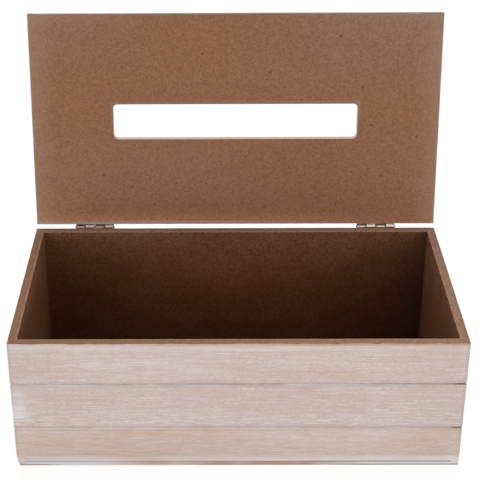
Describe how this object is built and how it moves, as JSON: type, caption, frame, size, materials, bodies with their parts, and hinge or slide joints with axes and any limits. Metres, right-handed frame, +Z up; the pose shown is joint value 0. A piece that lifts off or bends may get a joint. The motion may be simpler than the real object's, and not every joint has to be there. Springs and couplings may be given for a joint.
{
  "type": "tissue box cover",
  "caption": "Rectangular wooden tissue box with a limed plank-look outside, a raw brown inside and a flat hinged lid with a long slot that tissues are pulled through.",
  "frame": {"origin": "centre of the base's underside, on the table", "axes": "+X to the right along the long side, +Y to the back where the hinges are, +Z up"},
  "size_m": [0.26, 0.1675, 0.223],
  "materials": {
    "limed_board": "fibreboard limed white over a brushed grain outside, raw inside",
    "raw_board": "raw brown fibreboard underside, limed edges and top",
    "hinge_metal": "bright nickel plating",
    "screw_metal": "nickel plating",
    "brad_steel": "bright drawn wire"
  },
  "bodies": {
    "box": {"front_panel": "limed_board", "back_panel": "limed_board", "left_side_panel": "limed_board", "right_side_panel": "limed_board", "base_panel": "limed_board", "front_corner_brads": "brad_steel", "back_corner_brads": "brad_steel", "base_brads": "brad_steel", "left_hinge_box_leaf": "hinge_metal", "left_hinge_pin": "hinge_metal", "left_hinge_box_screws": "screw_metal", "right_hinge_box_leaf": "hinge_metal", "right_hinge_pin": "hinge_metal", "right_hinge_box_screws": "screw_metal"},
    "lid": {"lid_panel": "raw_board", "left_hinge_lid_leaf": "hinge_metal", "left_hinge_lid_screws": "screw_metal", "right_hinge_lid_leaf": "hinge_metal", "right_hinge_lid_screws": "screw_metal"}
  },
  "joints": [
    {"name": "lid_hinge", "type": "hinge", "parent": "box", "child": "lid", "pos_m": [0, 0.0707, 0.0851], "axis": [-1, 0, 0], "range_deg": [-99, 81]}
  ]
}
